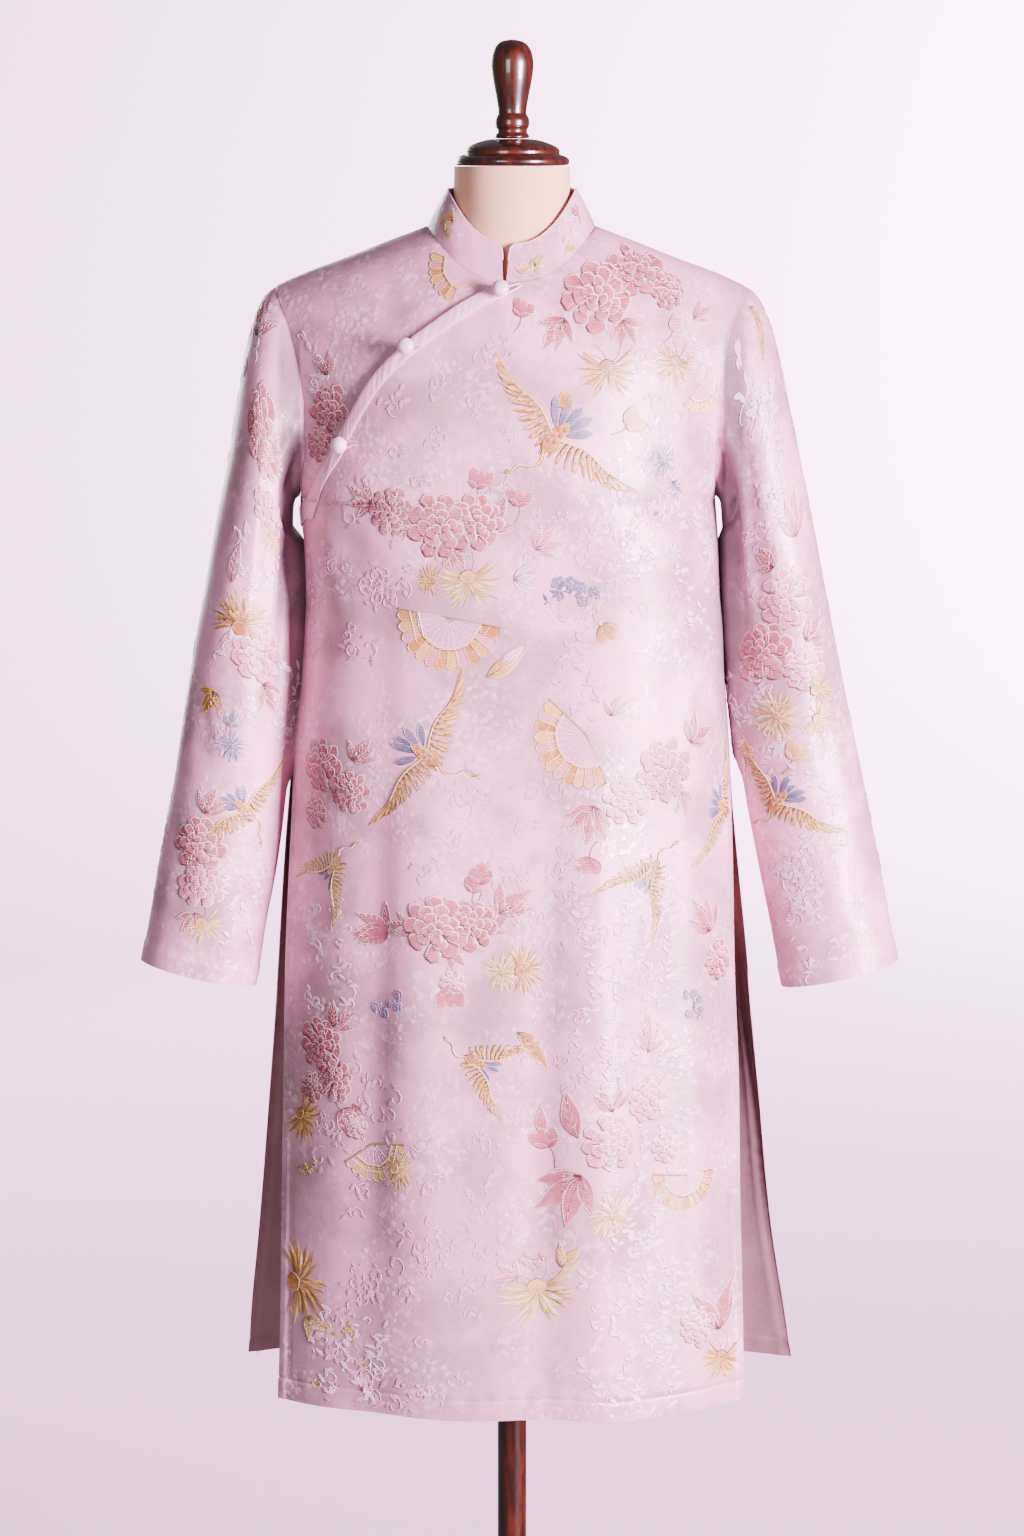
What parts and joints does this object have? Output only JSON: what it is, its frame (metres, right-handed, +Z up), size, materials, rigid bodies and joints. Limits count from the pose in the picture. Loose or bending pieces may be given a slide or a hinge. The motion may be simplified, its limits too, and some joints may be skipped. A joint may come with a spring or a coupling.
{
  "type": "ao dai tunic on a limbless dress form",
  "caption": "Long brocade tunic with a stand collar, slanted button closure, full sleeves and side slits, worn by a limbless dress form on a round stand.",
  "frame": {"origin": "on the floor, under the middle of the part's bounding box, which is the middle of the stand's base", "axes": "+Z up; the tunic's front faces -Y; +X is the viewer's right, seen from the front"},
  "size_m": [0.7255, 0.38, 1.66],
  "materials": {
    "satin": "patterned satin brocade",
    "satin_band": "plain satin facing",
    "button_satin": "satin-covered",
    "linen": "matt covered form",
    "dark_wood": "gloss varnish"
  },
  "bodies": {
    "root": {"front_panel": "satin", "under_front": "satin", "back_panel": "satin", "left_sleeve": "satin", "right_sleeve": "satin", "collar": "satin", "closure_band": "satin_band", "button_1": "button_satin", "button_2": "button_satin", "button_3": "button_satin", "loop_1": "button_satin", "loop_2": "button_satin", "loop_3": "button_satin", "form_torso": "linen", "neck_cap": "dark_wood", "finial": "dark_wood", "stand_pole": "dark_wood", "stand_base": "dark_wood"}
  },
  "joints": []
}
